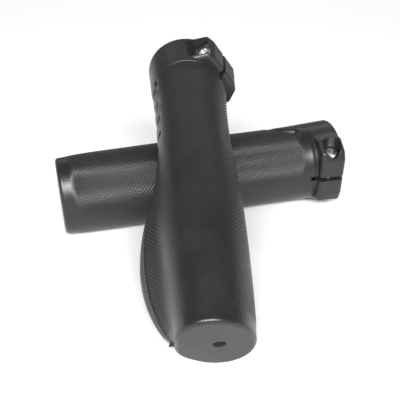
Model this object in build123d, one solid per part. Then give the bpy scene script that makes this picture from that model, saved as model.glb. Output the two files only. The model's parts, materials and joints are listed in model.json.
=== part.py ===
from build123d import *
import os
from math import cos, exp, hypot, pi, radians, sin

# A pair of ergonomic handlebar grips lying crossed, the left-hand grip leaning on the right-hand one.
# Each grip is built in its own frame, in millimetres: X runs along the bar from the clamp (inner) end
# to the closed outer end, +Y is the palm wing's side, +Z is the side of the clamp screw's head.
# The right-hand grip is the mirror image of the left-hand one in its XY plane.

# Handlebar and grip lengths
bar_diameter = 22.2
bar_clearance = 0.05
bore_radius = bar_diameter / 2 + bar_clearance
grip_length = 130.0
end_wall = 4.0
core_length = grip_length - end_wall
vent_radius = 2.0
vent_y = -1.0
rim_fillet = 1.6

# Hard core sleeve, which the rubber is moulded on
core_radius = 12.4
shoulder_radius = 13.8
shoulder_length = 1.2
key_groove_depth = 0.5
key_groove_width = 3.0
key_groove_places = [38.0, 64.0, 90.0, 116.0]

# Clamp collar, at the inner end; its lug stands out on the side away from the wing, turned a little
collar_length = 14.0
collar_half_width = 16.9
collar_half_height = 19.0
joint_half_width = 16.2
joint_half_height = 18.4
rim_round = 1.0
joint_edge = 0.15
lug_turn = 14.5
lug_start = 0.6
lug_end = 12.8
lug_corner = 2.0
lug_taper = 4.0
lug_profile = [
    (-4.0, 17.8),
    (-12.2, 17.0),
    (-17.6, 12.6),
    (-19.2, 8.4),
    (-19.2, -9.0),
    (-18.2, -13.0),
    (-3.0, -18.4),
]
slit_width = 2.0
slit_z = -0.6
slit_end = 16.0

# Clamp screw (M4), washer and square nut, along the lug's Z; the nut sits in a pocket with an open mouth
screw_x = 6.7
screw_y = -14.1
seat_z = 7.0
recess_radius = 4.2
screw_hole_radius = 2.15
washer_radius = 3.5
washer_thickness = 0.5
shank_radius = 2.0
shank_length = 16.0
head_radius = 3.4
head_height = 4.0
hex_across_flats = 3.0
hex_depth = 2.0
screw_edge = 0.4
nut_side = 7.0
nut_height = 3.2
nut_bore_radius = 2.05
nut_face_z = -7.2
nut_play = 0.15
mouth_gap = 0.3
mouth_length = 9.2
mouth_width = 8.6

# Rubber outline: distance from the clamp end, half width on the side away from the wing,
# half height, and how far the wing stands out of the body
body_stations = [
    (14.0, 16.2, 18.4, 0.0),
    (18.0, 15.6, 18.2, 0.0),
    (28.0, 14.8, 17.9, 0.0),
    (45.0, 14.4, 17.8, 1.6),
    (62.0, 14.9, 17.9, 4.4),
    (78.0, 15.2, 18.0, 9.2),
    (92.0, 15.0, 18.0, 11.6),
    (106.0, 14.4, 17.9, 11.2),
    (119.0, 13.7, 17.7, 7.2),
    (125.0, 13.2, 17.4, 3.6),
    (130.0, 12.7, 17.1, -1.6),
]
wing_spread_head = radians(27)
wing_spread_nut = radians(22)
wing_lift = radians(11)
outline_points = 40

# How the pair lies: the angles turn each grip about the vertical, tip its outer end down and roll it
# about its own axis; the place is that of the middle of its length
right_turn, right_tip, right_roll = 16.5, 0.61, 14.5
right_place = Vector(-0.63, 37.86, 18.16)
left_turn, left_tip, left_roll = 5.3, 21.37, 19.0
left_place = Vector(-2.03, -6.14, 38.86)


def in_section(x):
    """The plane across the grip at x, with its own x along the grip's Y and its y along Z."""
    return Plane(origin=(x, 0, 0), x_dir=(0, 1, 0), z_dir=(1, 0, 0))


def rod(radius, start, end):
    """A round bar along the grip's axis."""
    return extrude(in_section(start) * Circle(radius), end - start)


def post(radius, low, high):
    """A round bar along the screw's axis, between two heights in the clamp's frame."""
    return extrude(Plane(origin=(screw_x, screw_y, low)) * Circle(radius), high - low)


def block(x_range, y_range, z_range):
    """A box given by its lowest and highest x, y and z."""
    size = [high - low for low, high in (x_range, y_range, z_range)]
    middle = [(high + low) / 2 for low, high in (x_range, y_range, z_range)]
    return Pos(*middle) * Box(*size)


def turned(shape):
    """From the clamp's frame, where the lug points along -Y, to the grip's frame."""
    return Rot(lug_turn, 0, 0) * shape


def outline(half_width, half_height, wing):
    """The rubber's cross-section: an oval body with a rounded wing, fuller on the screw head's side."""
    points = []
    for i in range(outline_points):
        angle = 2 * pi * i / outline_points - pi
        oval = half_width * half_height / hypot(half_height * cos(angle), half_width * sin(angle))
        off = angle - wing_lift
        spread = wing_spread_head if off > 0 else wing_spread_nut
        radius = oval + wing * exp(-((off / spread) ** 2))
        points.append((radius * cos(angle), radius * sin(angle)))
    return make_face(Spline(*points, periodic=True))


def slit_cut(end):
    """The clamp's slit, from beyond the inner end to the given distance, out through the lug."""
    return turned(block((-1, end), (-40, 0), (slit_z - slit_width / 2, slit_z + slit_width / 2)))


def core_sleeve():
    """A thin hard tube over the bar, with a shoulder behind the collar, grooves that key the rubber and
    a notch that the screw passes through."""
    tube = rod(core_radius, 0, core_length)
    shoulder = rod(shoulder_radius, collar_length, collar_length + shoulder_length)
    sleeve = tube + shoulder - rod(bore_radius, -1, core_length + 1)
    for x in key_groove_places:
        ring = rod(core_radius + 1, x, x + key_groove_width)
        ring -= rod(core_radius - key_groove_depth, x - 1, x + key_groove_width + 1)
        sleeve -= ring
    sleeve -= turned(post(screw_hole_radius, nut_face_z, seat_z))
    return sleeve - slit_cut(slit_end)


def rubber_grip(core):
    """The soft outside with its palm wing and closed end, filled in round the core it is moulded on."""
    skin = loft([in_section(x) * outline(*sizes) for x, *sizes in body_stations])
    rim = skin.faces().sort_by(Axis.X)[-1].edges()
    skin = fillet(rim, rim_fillet)
    grip = skin - rod(bore_radius, 0, core_length) - core
    vent = Pos(0, vent_y, 0) * rod(vent_radius, core_length - 1, grip_length + 1)
    grip -= vent
    return grip - slit_cut(slit_end)


def clamp_collar():
    """A tapering oval ring with a lug, slit through the lug, with a screw seat and a nut pocket."""
    inner_end = in_section(0) * Ellipse(collar_half_width, collar_half_height)
    ring = loft([inner_end, in_section(collar_length) * Ellipse(joint_half_width, joint_half_height)])
    rim = ring.faces().sort_by(Axis.X)[0].edges()
    ring = fillet(rim, rim_round)
    joint = ring.faces().sort_by(Axis.X)[-1].edges()
    ring = chamfer(joint, joint_edge)
    lug_face = make_face(Polyline(*lug_profile, close=True))
    lug = extrude(in_section(lug_start) * lug_face, lug_end - lug_start, taper=lug_taper)
    lug = fillet(lug.edges(), lug_corner)
    collar = ring + turned(lug)
    collar -= rod(core_radius, -1, collar_length + 1)
    collar -= slit_cut(collar_length + 1)
    collar -= turned(post(recess_radius, seat_z, seat_z + 20))
    collar -= turned(post(screw_hole_radius, nut_face_z - 1, seat_z + 1))
    return collar - turned(nut_space())


def nut_space():
    """The nut's pocket, which keeps it from turning, and the wider mouth that it goes in by."""
    half = nut_side / 2 + nut_play
    pocket_x = (screw_x - half, screw_x + half)
    pocket_y = (screw_y - half, screw_y + half)
    pocket = block(pocket_x, pocket_y, (nut_face_z - 20, nut_face_z))
    mouth_x = (screw_x - mouth_length / 2, screw_x + mouth_length / 2)
    mouth_y = (screw_y - half, screw_y - half + mouth_width)
    mouth_top = nut_face_z - nut_height - mouth_gap
    return pocket + block(mouth_x, mouth_y, (mouth_top - 20, mouth_top))


def clamp_screw():
    """A socket head cap screw; its thread is left as a plain round shank."""
    under_head = seat_z + washer_thickness
    head_top = under_head + head_height
    head = post(head_radius, under_head, head_top)
    head = chamfer(head.edges().sort_by(Axis.Z)[-1], screw_edge)
    hexagon = RegularPolygon(hex_across_flats / 2, 6, major_radius=False)
    head -= extrude(Plane(origin=(screw_x, screw_y, head_top - hex_depth)) * hexagon, hex_depth + 1)
    shank = post(shank_radius, under_head - shank_length, under_head)
    shank = chamfer(shank.edges().sort_by(Axis.Z)[0], screw_edge)
    return turned(head + shank)


def screw_washer():
    """A flat washer on the screw's seat."""
    disc = post(washer_radius, seat_z, seat_z + washer_thickness)
    return turned(disc - post(screw_hole_radius, seat_z - 1, seat_z + 1))


def square_nut():
    """A square nut, held in the collar's pocket."""
    half = nut_side / 2
    nut_x = (screw_x - half, screw_x + half)
    nut_y = (screw_y - half, screw_y + half)
    nut = block(nut_x, nut_y, (nut_face_z - nut_height, nut_face_z))
    return turned(nut - post(nut_bore_radius, nut_face_z - nut_height - 1, nut_face_z + 1))


def lie(heading, tip, roll, place):
    """Where a grip lies: its outer end points along the heading and is tipped down, its head side is
    turned down, and it is rolled about its own axis."""
    level = Vector(cos(radians(heading)), sin(radians(heading)), 0)
    up = Vector(0, 0, 1)
    along = level * cos(radians(tip)) - up * sin(radians(tip))
    under = up * -cos(radians(tip)) - level * sin(radians(tip))
    resting = Plane(origin=place, x_dir=along, z_dir=under).location
    return resting * Rot(roll, 0, 0) * Pos(-grip_length / 2, 0, 0)


def left_lie():
    """The upper, left-hand grip's placement."""
    return lie(-90 + left_turn, left_tip, left_roll, left_place)


def right_lie():
    """The lower, right-hand grip's placement, for its mirrored pieces."""
    return lie(180 + right_turn, right_tip, right_roll, right_place)


def main():
    os.makedirs("parts", exist_ok=True)
    core = core_sleeve()
    pieces = {
        "core_sleeve": core,
        "rubber_grip": rubber_grip(core),
        "clamp_collar": clamp_collar(),
        "clamp_screw": clamp_screw(),
        "screw_washer": screw_washer(),
        "square_nut": square_nut(),
    }
    for name, piece in pieces.items():
        export_step(left_lie() * piece, f"parts/left_{name}.step")
        export_step(right_lie() * mirror(piece, about=Plane.XY), f"parts/right_{name}.step")


if __name__ == "__main__":
    main()
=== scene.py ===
import json
from math import cos, pi, radians, sin

import bmesh
import bpy
import numpy as np
from mathutils import Matrix, Vector
from mathutils.bvhtree import BVHTree


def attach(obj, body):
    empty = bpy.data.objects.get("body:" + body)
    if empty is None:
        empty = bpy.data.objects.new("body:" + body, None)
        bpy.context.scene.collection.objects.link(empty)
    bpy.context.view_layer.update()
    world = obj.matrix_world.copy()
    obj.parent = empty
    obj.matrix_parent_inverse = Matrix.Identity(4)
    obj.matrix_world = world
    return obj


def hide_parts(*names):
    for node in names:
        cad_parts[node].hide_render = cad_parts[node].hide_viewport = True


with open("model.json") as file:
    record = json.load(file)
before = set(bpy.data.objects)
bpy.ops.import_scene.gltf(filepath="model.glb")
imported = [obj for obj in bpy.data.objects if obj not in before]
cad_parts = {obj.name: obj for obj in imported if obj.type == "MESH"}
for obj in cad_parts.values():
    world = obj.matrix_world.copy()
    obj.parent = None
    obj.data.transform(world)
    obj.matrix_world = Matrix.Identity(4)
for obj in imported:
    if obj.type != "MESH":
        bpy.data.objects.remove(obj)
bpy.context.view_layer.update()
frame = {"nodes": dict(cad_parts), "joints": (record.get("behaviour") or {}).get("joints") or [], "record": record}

# A pair of handlebar grips lying crossed. Lengths of the grips are in millimetres, in each grip's own frame:
# x runs from the clamp end to the closed end, y towards the palm wing, z towards the screw's head. An angle
# about the grip's axis is counted from y towards z. Everything in the scene itself is in metres.
MM = 0.001
MOUNTS = {m["name"]: m for m in frame["record"]["mounts"]}
JOINTS = {j["name"]: j for j in frame["joints"]}

# Sizes shared with the CAD
CORE_LENGTH = MOUNTS["left_bar_clamp"]["dims"]["length_mm"]
END_WALL = 4.0
GRIP_LENGTH = CORE_LENGTH + END_WALL
CORE_RADIUS = 12.4
SHOULDER_RADIUS = 13.8
SHOULDER_END = 15.2
COLLAR_LENGTH = 14.0
KEY_GROOVES = [38.0, 64.0, 90.0, 116.0]
KEY_WIDTH = 3.0
KEY_RADIUS = 11.9
VENT_RADIUS = 2.0
VENT = np.array([0, -1.0, 0])
RIM_RADIUS = 1.6
LUG_TURN = radians(14.5)
SLIT_WIDTH = 2.0
SLIT_Z = -0.6
SLIT_END = 16.0

# Edges that the CAD has sharp, and the gap to the collar
EDGE_ROUND = 0.15
VENT_EDGE = 0.2
JOINT_GAP = 0.02

# The mesh: columns round the grip, and rings a quarter of the knurl's pitch apart
PITCH = 1.6
STEP = PITCH / 4
COLUMNS = 256
EDGE_STEPS = 3
RIM_STEPS = 8
RIM_CLEARANCE = 0.1
FIRST_RING = COLLAR_LENGTH + 3 * STEP
FACE_SHARES = [0.03, 0.25, 0.5, 0.75, 0.97, 1.0]
SLIT_PICK_RADIUS = 16.0

# The knurl, lower round the nut's side of the grip and fading out at its edges
KNURL_HEIGHT = 0.12
KNURL_NUT_SIDE = 0.5
KNURL_NUT_SPREAD = radians(55)
KNURL_NUT_FADE = radians(30)
KNURL_START = 18.0
KNURL_END = 125.6
KNURL_FADE = 2.5

# The parting line, which grows along the wing, and the nub of flash near its end
PARTING_ANGLE = radians(-3)
PARTING_HEIGHT = 0.3
PARTING_WIDTH = 0.45
PARTING_START = 60.0
PARTING_GROWTH = 30.0
NUB_X = 127.2
NUB_HEIGHT = 1.6
NUB_RADIUS = 0.7

# The thumb grooves, each with a lip behind it
THUMB_GROOVES = [19.6, 28.0, 36.2, 44.4]
THUMB_DEPTH = 1.6
THUMB_WIDTH = 1.2
THUMB_LIP = 0.35
THUMB_LIP_PLACE = 3.0
THUMB_LIP_WIDTH = 1.7
THUMB_MIDDLE = radians(-13)
THUMB_SPREAD = radians(42)
THUMB_END_SLOPE = 3
THUMB_PANEL_END = THUMB_GROOVES[-1] + 6

# The arc groove beside the clamp: the screw head's side of an oval that is drawn on the grip's surface
ARC_MIDDLE = radians(15)
ARC_SPREAD = radians(97)
ARC_LENGTH = 21.5
ARC_DEPTH = 1.9
ARC_WIDTH = 1.1
ARC_DEEPENING = radians(25)
ARC_LAST_ANGLE = radians(125)
ARC_END = 17.5
ARC_END_FADE = 2.0
ARC_MARGIN = 0.06 * ARC_LENGTH

# The two dimples: x and angle
DIMPLES = [(17.3, radians(-52)), (18.8, radians(-38))]
DIMPLE_RADIUS = 0.9
DIMPLE_DEPTH = 1.1

# Sampling of the CAD's outer surface
SAMPLE_STEP = 2.0
SAMPLE_ANGLES = 128
HARMONICS = 20
SAMPLE_START = 14.3
SAMPLE_END = 127.8
OUTSIDE = 60.0
THINNEST_RUBBER = 0.5

# The rubber's material slots; the last one, for the inside and the vent's wall, is painted very dark as painted
# shade in the vent hole
SKIN, END, SHADED_INNER = 0, 1, 2


class Grip:
    """Where one grip lies, read from its clamp bore and its screw's axis, and the CAD rubber's outline."""

    def __init__(self, side, hand):
        self.side = side
        self.hand = hand
        bore = MOUNTS[f"{side}_bar_clamp"]
        self.along = -Vector(bore["axis"]).normalized()
        self.start = Vector(bore["pos_m"]) - self.along * CORE_LENGTH / 2 * MM
        head = Vector(JOINTS[f"{side}_screw_turn"]["axis"]).normalized()
        across = hand * head.cross(self.along)
        wing = across * cos(LUG_TURN) - head * sin(LUG_TURN)
        up = across * sin(LUG_TURN) + head * cos(LUG_TURN)
        self.axes = np.array([self.along, wing, up])
        self.measure()

    def world(self, points):
        """From the grip's frame, in millimetres, to the scene, in metres."""
        return np.asarray(points) @ self.axes * MM + np.array(self.start)

    def measure(self):
        """The outer radius of the CAD rubber round its axis, as a smooth function of x and angle."""
        mesh = frame["nodes"][f"{self.side}_rubber_grip"].data
        tree = BVHTree.FromPolygons([v.co for v in mesh.vertices], [p.vertices for p in mesh.polygons])
        count = int((SAMPLE_END - SAMPLE_START) / SAMPLE_STEP) + 1
        self.sample_x = np.linspace(SAMPLE_START, SAMPLE_END, count)
        angles = np.arange(SAMPLE_ANGLES) * 2 * pi / SAMPLE_ANGLES
        rows = []
        for x in self.sample_x:
            radii = []
            for angle in angles:
                inward = Vector(-(cos(angle) * self.axes[1] + sin(angle) * self.axes[2]))
                axis_point = self.start + self.along * x * MM
                hit = tree.ray_cast(axis_point - inward * OUTSIDE * MM, inward)
                radii.append(OUTSIDE - hit[3] / MM)
            rows.append(mend(np.array(radii)))
        self.waves = np.fft.rfft(np.array(rows), axis=1)[:, :HARMONICS] / SAMPLE_ANGLES

    def radius(self, x, angle):
        """The outer radius at x, for an array of angles, by a smooth curve through the sampled sections."""
        last = len(self.waves) - 1
        spacing = self.sample_x[1] - self.sample_x[0]
        place = np.clip((x - SAMPLE_START) / spacing, 0, last - 0.001)
        i = int(place)
        t = place - i
        before, here, after, beyond = (self.waves[min(max(i + k, 0), last)] for k in (-1, 0, 1, 2))
        bend = 2 * before - 5 * here + 4 * after - beyond
        twist = 3 * here - before - 3 * after + beyond
        wave = here + 0.5 * (t * (after - before) + t * t * bend + t ** 3 * twist)
        orders = np.arange(HARMONICS)
        weights = np.where(orders == 0, 1, 2)
        return np.real(np.exp(1j * np.outer(angle, orders)) @ (wave * weights))


def mend(radii):
    """Bridges the clamp slit, where the ray passes the rubber by."""
    good = radii > CORE_RADIUS + THINNEST_RUBBER
    places = np.arange(len(radii))
    return np.interp(places, places[good], radii[good], period=len(radii))


def wrap(angle):
    return (angle + pi) % (2 * pi) - pi


def bell(distance, width):
    return np.exp(-((distance / width) ** 2))


def columns(grip, x):
    """Angles round the section at x that are equally far apart along its outline."""
    fine = np.linspace(-pi, pi, 721)
    radius = grip.radius(x, fine)
    points = np.stack([radius * np.cos(fine), radius * np.sin(fine)], 1)
    length = np.concatenate([[0], np.cumsum(np.linalg.norm(np.diff(points, axis=0), axis=1))])
    return np.interp(np.arange(COLUMNS) / COLUMNS * length[-1], length, fine)


def ring(x, radius, angles):
    """Points round the axis at x; the radius is one number or one for each angle."""
    radius = np.broadcast_to(radius, angles.shape)
    return np.stack([np.full(angles.shape, float(x)), radius * np.cos(angles), radius * np.sin(angles)], 1)


def outer_rows():
    """x and the inset of each outer ring, from the clamp end to the edge of the end face."""
    rows = []
    for step in range(EDGE_STEPS + 1):
        turn = step / EDGE_STEPS * pi / 2
        x = COLLAR_LENGTH + JOINT_GAP + EDGE_ROUND * (1 - cos(turn))
        rows.append((x, EDGE_ROUND * (1 - sin(turn))))
    for step in range(int((GRIP_LENGTH - RIM_RADIUS - RIM_CLEARANCE - FIRST_RING) / STEP) + 1):
        rows.append((FIRST_RING + step * STEP, 0.0))
    for step in range(RIM_STEPS + 1):
        turn = step / RIM_STEPS * pi / 2
        rows.append((GRIP_LENGTH - RIM_RADIUS * (1 - sin(turn)), RIM_RADIUS * (1 - cos(turn))))
    return rows


def inner_rows():
    """x and radius of each inner ring, from the vent's mouth inside back to the clamp end."""
    rows = [(CORE_LENGTH, VENT_RADIUS), (CORE_LENGTH, CORE_RADIUS)]
    for x in reversed(KEY_GROOVES):
        rows += [(x + KEY_WIDTH, CORE_RADIUS), (x + KEY_WIDTH, KEY_RADIUS), (x, KEY_RADIUS), (x, CORE_RADIUS)]
    rows += [(SLIT_END, CORE_RADIUS), (SHOULDER_END, CORE_RADIUS), (SHOULDER_END, SHOULDER_RADIUS)]
    rows.append((COLLAR_LENGTH + JOINT_GAP, SHOULDER_RADIUS))
    return rows


# The moulded relief, as heights over the plain outline

def arc_distance(x, angles):
    """How far outside the arc groove's oval a ring's points lie."""
    share = np.hypot((x - COLLAR_LENGTH) / ARC_LENGTH, wrap(angles - ARC_MIDDLE) / ARC_SPREAD)
    return (share - 1) * ARC_LENGTH


def arc_groove(x, angles, from_arc):
    """The arc groove, which deepens from the oval's middle and ends short of the clamp."""
    turn = wrap(angles)
    deepening = np.clip((turn - ARC_MIDDLE) / ARC_DEEPENING, 0, 1) * (turn < ARC_LAST_ANGLE)
    ending = np.clip((x - ARC_END) / ARC_END_FADE, 0, 1)
    return -ARC_DEPTH * bell(from_arc, ARC_WIDTH) * deepening * ending


def thumb_reach(angles):
    """1 along a thumb groove's length, down to 0 at its two ends."""
    return np.clip((1 - np.abs(wrap(angles - THUMB_MIDDLE)) / THUMB_SPREAD) * THUMB_END_SLOPE, 0, 1)


def thumb_grooves(x):
    """The thumb grooves and their lips, at x."""
    height = 0
    for place in THUMB_GROOVES:
        height += THUMB_LIP * bell(x - place - THUMB_LIP_PLACE, THUMB_LIP_WIDTH)
        height -= THUMB_DEPTH * bell(x - place, THUMB_WIDTH)
    return height


def dimples(x, angles, radius):
    """The two dimples beside the first thumb groove."""
    height = np.zeros(COLUMNS)
    for place, angle in DIMPLES:
        off = np.hypot(x - place, wrap(angles - angle) * radius)
        height -= DIMPLE_DEPTH * bell(off, DIMPLE_RADIUS)
    return height


def parting_line(x, angles, radius):
    """The mould's parting line along the wing, and the nub on it."""
    across = wrap(angles - PARTING_ANGLE) * radius
    growing = np.clip((x - PARTING_START) / PARTING_GROWTH, 0, 1) * (x < GRIP_LENGTH - RIM_RADIUS)
    nub = NUB_HEIGHT * bell(np.hypot(x - NUB_X, across), NUB_RADIUS)
    return PARTING_HEIGHT * bell(across, PARTING_WIDTH) * growing + nub


def knurl(x, angles, row, from_arc, reach):
    """The flat-topped diamonds' height round one ring, and which of its points are knurled."""
    smooth = (from_arc < ARC_MARGIN) | ((reach > 0) & (x < THUMB_PANEL_END))
    knurled = (KNURL_START < x < KNURL_END) & ~smooth
    column = np.arange(COLUMNS)
    tops = ((row + column) % 4 != 0) & ((row - column) % 4 != 0)
    to_edge = np.minimum(min(x - KNURL_START, KNURL_END - x), from_arc)
    fade = np.clip(to_edge / KNURL_FADE, 0, 1)
    from_nut = np.abs(wrap(angles + pi / 2))
    share = np.clip((from_nut - KNURL_NUT_SPREAD) / KNURL_NUT_FADE, 0, 1)
    height = KNURL_HEIGHT * (KNURL_NUT_SIDE + (1 - KNURL_NUT_SIDE) * share)
    return height * fade * (knurled & tops), knurled


def relief(x, angles, radius, row):
    """How far the moulded surface stands out round one ring, and which of its points are knurled."""
    from_arc = arc_distance(x, angles)
    reach = thumb_reach(angles)
    height = arc_groove(x, angles, from_arc) + thumb_grooves(x) * reach
    height = height + dimples(x, angles, radius) + parting_line(x, angles, radius)
    diamonds, knurled = knurl(x, angles, row, from_arc, reach)
    return height + diamonds, knurled


# The clamp slit

def slit_wall(side, radius):
    """The angle of one of the slit's two walls at a radius."""
    return LUG_TURN - pi + side * np.arcsin((SLIT_WIDTH / 2 - side * SLIT_Z) / radius)


def slit_columns(angles):
    """The two columns next to the slit's walls, one each side."""
    walls = [slit_wall(side, SLIT_PICK_RADIUS) for side in (-1, 1)]
    return [int(np.argmin(np.abs(wrap(angles - wall)))) for wall in walls]


def snap_to_slit(points, low, high):
    """Puts the two columns on the slit's walls, for a ring inside the slit's length."""
    for column, side in ((low, -1), (high, 1)):
        radius = np.hypot(points[column, 1], points[column, 2])
        angle = slit_wall(side, radius)
        points[column, 1:] = radius * cos(angle), radius * sin(angle)


# The rubber's rings and faces

def outward(points):
    """Unit normals of a grid of rings, from their neighbours."""
    along = np.gradient(points, axis=0)
    around = np.roll(points, -1, axis=1) - np.roll(points, 1, axis=1)
    normal = np.cross(around, along)
    return normal / np.linalg.norm(normal, axis=2, keepdims=True)


def outer_rings(grip, low, high):
    """The outside's rings with their relief, their knurled points, and the last row inside the slit."""
    rows = outer_rows()
    rings = []
    for x, inset in rows:
        angles = columns(grip, x)
        rings.append(ring(x, grip.radius(x, angles) - inset, angles))
    rings = np.array(rings)
    normals = outward(rings)
    knurled = []
    for row, (x, _) in enumerate(rows):
        angles = np.arctan2(rings[row, :, 2], rings[row, :, 1])
        radius = np.hypot(rings[row, :, 2], rings[row, :, 1])
        height, is_knurled = relief(x, angles, radius, row)
        rings[row] += normals[row] * height[:, None]
        knurled.append(is_knurled)
        if x <= SLIT_END + STEP / 2:
            snap_to_slit(rings[row], low, high)
            slit_row = row
    return rings, knurled, slit_row


def end_rings(rim):
    """Rings across the end face, from its edge to the vent's mouth, and the vent's rounded edge."""
    angles = np.arctan2(rim[:, 2], rim[:, 1])
    mouth = ring(GRIP_LENGTH, VENT_RADIUS + VENT_EDGE, angles) + VENT
    rings = [rim * (1 - share) + mouth * share for share in FACE_SHARES]
    return rings + [ring(GRIP_LENGTH - VENT_EDGE, VENT_RADIUS, angles) + VENT]


def inner_rings(grip, low, high):
    """Rings of the vent and of the inside, which lies on the core."""
    rings = []
    for x, radius in inner_rows():
        inside = ring(x, radius, columns(grip, x))
        if radius == VENT_RADIUS:
            inside = inside + VENT
        if x <= SLIT_END:
            snap_to_slit(inside, low, high)
        rings.append(inside)
    return rings


def split(a, b, c, d, row, column):
    """Two triangles for a knurled quad, split so that a groove between diamonds runs along their edge."""
    if (row + column) % 2 == 0:
        return [(a, b, c), (a, c, d)]
    return [(a, b, d), (b, c, d)]


def slit_faces(count, low, high, slit_row, inner_slit):
    """The slit's two walls and its floor."""
    path = [*range(inner_slit, count), *range(slit_row + 1)]
    faces = [[row * COLUMNS + low for row in path], [row * COLUMNS + high for row in reversed(path)]]
    for column in range(low, high):
        outer, inner = slit_row * COLUMNS + column, inner_slit * COLUMNS + column
        faces.append((outer, inner, inner + 1, outer + 1))
    return faces


def rubber(grip):
    """The rubber grip as one closed mesh: knurled outside, end face, vent and the inside over the core."""
    low, high = slit_columns(columns(grip, SLIT_END))
    outside, knurled, slit_row = outer_rings(grip, low, high)
    end = end_rings(outside[-1])
    inside = inner_rings(grip, low, high)
    rings = [*outside, *end, *inside]
    count = len(rings)
    inner_slit = len(outside) + len(end) + [x for x, _ in inner_rows()].index(SLIT_END)
    # The vent's mouth, its wall and the inside get the very dark slot, which is painted shade in the vent hole
    row_slots = [SKIN] * (len(outside) - 2) + [END] * len(end) + [SHADED_INNER] * (len(inside) + 2)
    faces, rough, slots = [], [], []
    for row in range(count):
        after = (row + 1) % count
        for column in range(COLUMNS):
            if (row < slit_row or row >= inner_slit) and low <= column < high:
                continue
            right = (column + 1) % COLUMNS
            a, b = row * COLUMNS + column, row * COLUMNS + right
            c, d = after * COLUMNS + right, after * COLUMNS + column
            is_rough = row < len(outside) - 1 and (knurled[row][column] or knurled[row + 1][column])
            patch = split(a, b, c, d, row, column) if is_rough else [(a, b, c, d)]
            faces += patch
            rough += [is_rough] * len(patch)
            slots += [row_slots[row]] * len(patch)
    slit = slit_faces(count, low, high, slit_row, inner_slit)
    faces += slit
    rough += [False] * len(slit)
    slots += [SKIN] * len(slit)
    return build(grip, np.concatenate(rings), faces, rough, slots)


def build(grip, points, faces, rough, slots):
    """The skin object from points in the grip's frame; rough faces stay faceted, the others are smooth."""
    if grip.hand > 0:
        faces = [tuple(reversed(face)) for face in faces]
    name = f"{grip.side}_rubber_skin"
    mesh = bpy.data.meshes.new(name)
    mesh.from_pydata(grip.world(points).tolist(), [], faces)
    mesh.update()
    mesh.polygons.foreach_set("use_smooth", [not flag for flag in rough])
    for material in (RUBBER, END_RUBBER, SHADED_INNER_RUBBER):
        mesh.materials.append(material)
    mesh.polygons.foreach_set("material_index", slots)
    skin = bpy.data.objects.new(name, mesh)
    bpy.context.scene.collection.objects.link(skin)
    clean(skin)
    return skin


def clean(skin):
    """Removes points that no face uses, as those across the slit's mouth."""
    work = bmesh.new()
    work.from_mesh(skin.data)
    loose = [v for v in work.verts if not v.link_faces]
    bmesh.ops.delete(work, geom=loose, context="VERTS")
    work.to_mesh(skin.data)
    work.free()


# Materials

def new_material(name, color, roughness, metallic=0.0):
    material = bpy.data.materials.new(name)
    material.use_nodes = True
    shader = material.node_tree.nodes["Principled BSDF"]
    shader.inputs["Base Color"].default_value = (*color, 1)
    shader.inputs["Roughness"].default_value = roughness
    shader.inputs["Metallic"].default_value = metallic
    return material, material.node_tree, shader


def noise(tree, scale, detail, roughness=0.55):
    """Noise over the object's own coordinates."""
    place = tree.nodes.new("ShaderNodeTexCoord")
    node = tree.nodes.new("ShaderNodeTexNoise")
    node.inputs["Scale"].default_value = scale
    node.inputs["Detail"].default_value = detail
    node.inputs["Roughness"].default_value = roughness
    tree.links.new(place.outputs["Object"], node.inputs["Vector"])
    return node.outputs["Fac"]


def ramp(tree, source, low, high):
    """Spreads a noise's middle range over low to high."""
    node = tree.nodes.new("ShaderNodeMapRange")
    node.inputs["From Min"].default_value = 0.3
    node.inputs["From Max"].default_value = 0.7
    node.inputs["To Min"].default_value = low
    node.inputs["To Max"].default_value = high
    tree.links.new(source, node.inputs["Value"])
    return node.outputs["Result"]


def tint(tree, source, dark, light):
    """A colour between dark and light."""
    node = tree.nodes.new("ShaderNodeMix")
    node.data_type = "RGBA"
    node.inputs["A"].default_value = (*dark, 1)
    node.inputs["B"].default_value = (*light, 1)
    tree.links.new(source, node.inputs["Factor"])
    return node.outputs["Result"]


def bump(tree, shader, source, strength, distance):
    node = tree.nodes.new("ShaderNodeBump")
    node.inputs["Strength"].default_value = strength
    node.inputs["Distance"].default_value = distance
    tree.links.new(source, node.inputs["Height"])
    tree.links.new(node.outputs["Normal"], shader.inputs["Normal"])


def moulded(name, dark, light, roughness, grain=2600, depth=0.00006):
    """A dull black moulded surface: fine grain, faint clouding of its colour and of its gloss."""
    material, tree, shader = new_material(name, light, roughness)
    cloud = noise(tree, 90, 4)
    tree.links.new(tint(tree, ramp(tree, cloud, 0, 1), dark, light), shader.inputs["Base Color"])
    gloss = ramp(tree, cloud, roughness - 0.05, roughness + 0.05)
    tree.links.new(gloss, shader.inputs["Roughness"])
    bump(tree, shader, noise(tree, grain, 5, 0.7), 0.5, depth)
    shader.inputs["Specular IOR Level"].default_value = 0.5
    return material


def zinc_plated():
    """Bright plated steel with a faintly uneven gloss."""
    material, tree, shader = new_material("zinc_steel", (0.78, 0.79, 0.80), 0.28, 1.0)
    cloud = noise(tree, 700, 4)
    color = tint(tree, ramp(tree, cloud, 0, 1), (0.70, 0.71, 0.73), (0.86, 0.86, 0.86))
    tree.links.new(color, shader.inputs["Base Color"])
    tree.links.new(ramp(tree, cloud, 0.2, 0.36), shader.inputs["Roughness"])
    bump(tree, shader, noise(tree, 4000, 3), 0.3, 0.00003)
    return material


def paint(thing, material):
    thing.data.materials.clear()
    thing.data.materials.append(material)


RUBBER = moulded("grip_rubber", (0.0095, 0.0098, 0.0112), (0.0133, 0.0137, 0.0156), 0.33)
END_RUBBER = moulded("grip_rubber_end", (0.009, 0.0093, 0.0122), (0.014, 0.0144, 0.0180), 0.48)
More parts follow.
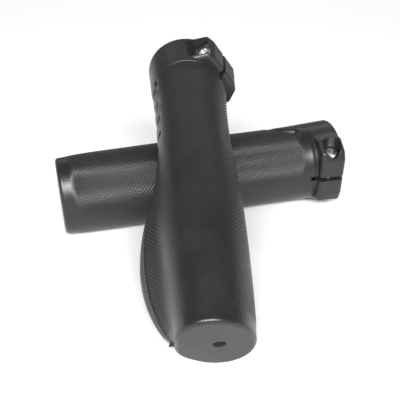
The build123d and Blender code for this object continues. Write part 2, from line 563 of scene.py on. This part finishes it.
# Painted shade: the inside and the vent's wall are painted about three times darker than the outer rubber,
# standing in for the shade inside the vent hole
SHADED_INNER_RUBBER = moulded("grip_rubber_inner_painted_shade", (0.003, 0.0031, 0.0035), (0.005, 0.0052, 0.0058), 0.85)
COLLAR = moulded("collar_plastic", (0.012, 0.0123, 0.0135), (0.017, 0.0174, 0.0192), 0.36, depth=0.00005)
CORE = moulded("core_plastic", (0.018, 0.018, 0.019), (0.024, 0.024, 0.026), 0.40, 1200, 0.00003)
ZINC = zinc_plated()


# The object

for side, hand, body in (("left", 1, "upper_grip"), ("right", -1, "lower_grip")):
    skin = rubber(Grip(side, hand))
    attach(skin, body)
    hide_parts(f"{side}_rubber_grip")
    paint(frame["nodes"][f"{side}_clamp_collar"], COLLAR)
    paint(frame["nodes"][f"{side}_core_sleeve"], CORE)
    for node in ("clamp_screw", "screw_washer", "square_nut"):
        paint(frame["nodes"][f"{side}_{node}"], ZINC)


# The stage

def add_floor():
    """A pale floor, whose half side is in metres."""
    half = 3.0
    mesh = bpy.data.meshes.new("floor")
    corners = [(-half, -half, 0), (half, -half, 0), (half, half, 0), (-half, half, 0)]
    mesh.from_pydata(corners, [], [(0, 1, 2, 3)])
    floor = bpy.data.objects.new("floor", mesh)
    bpy.context.scene.collection.objects.link(floor)
    material, _, shader = new_material("floor_white", (0.92, 0.92, 0.92), 0.9)
    shader.inputs["Specular IOR Level"].default_value = 0.1
    paint(floor, material)


def add_light(name, place, aim, size, watts):
    """A soft rectangular light."""
    data = bpy.data.lights.new(name, "AREA")
    data.shape = "RECTANGLE"
    data.size, data.size_y = size
    data.energy = watts
    light = bpy.data.objects.new(name, data)
    light.location = place
    light.rotation_euler = (Vector(aim) - Vector(place)).to_track_quat("-Z", "Y").to_euler()
    bpy.context.scene.collection.objects.link(light)


def add_world():
    world = bpy.data.worlds.new("studio")
    bpy.context.scene.world = world
    world.use_nodes = True
    back = world.node_tree.nodes["Background"]
    back.inputs["Color"].default_value = (1, 1, 1, 1)
    back.inputs["Strength"].default_value = 0.24


def add_camera():
    """Looks down at the pair from the front, from its closed ends."""
    elevation, azimuth, roll = radians(32.5), radians(0.35), radians(0.7)
    distance = 0.2717
    target = Vector((-0.00263, 0.03426, 0.0014))
    forward = Vector((sin(azimuth) * cos(elevation), cos(azimuth) * cos(elevation), -sin(elevation)))
    data = bpy.data.cameras.new("camera")
    data.sensor_width = 36.0
    data.lens = 51.01
    data.shift_x = 0.0086
    data.shift_y = 0.0263
    data.clip_start = 0.01
    camera = bpy.data.objects.new("camera", data)
    look = forward.to_track_quat("-Z", "Y").to_matrix().to_4x4() @ Matrix.Rotation(roll, 4, "Z")
    camera.matrix_world = Matrix.Translation(target - forward * distance) @ look
    bpy.context.scene.collection.objects.link(camera)
    bpy.context.scene.camera = camera


add_floor()
add_light("front_soft", (0.0, -0.9, 0.74), (0, 0, 0.03), (1.1, 0.3), 29)
add_light("back_soft", (0.0, 1.0, 0.9), (0, 1.5, 0), (1.6, 0.5), 10)
add_world()
add_camera()
bpy.context.scene.view_settings.view_transform = "Standard"
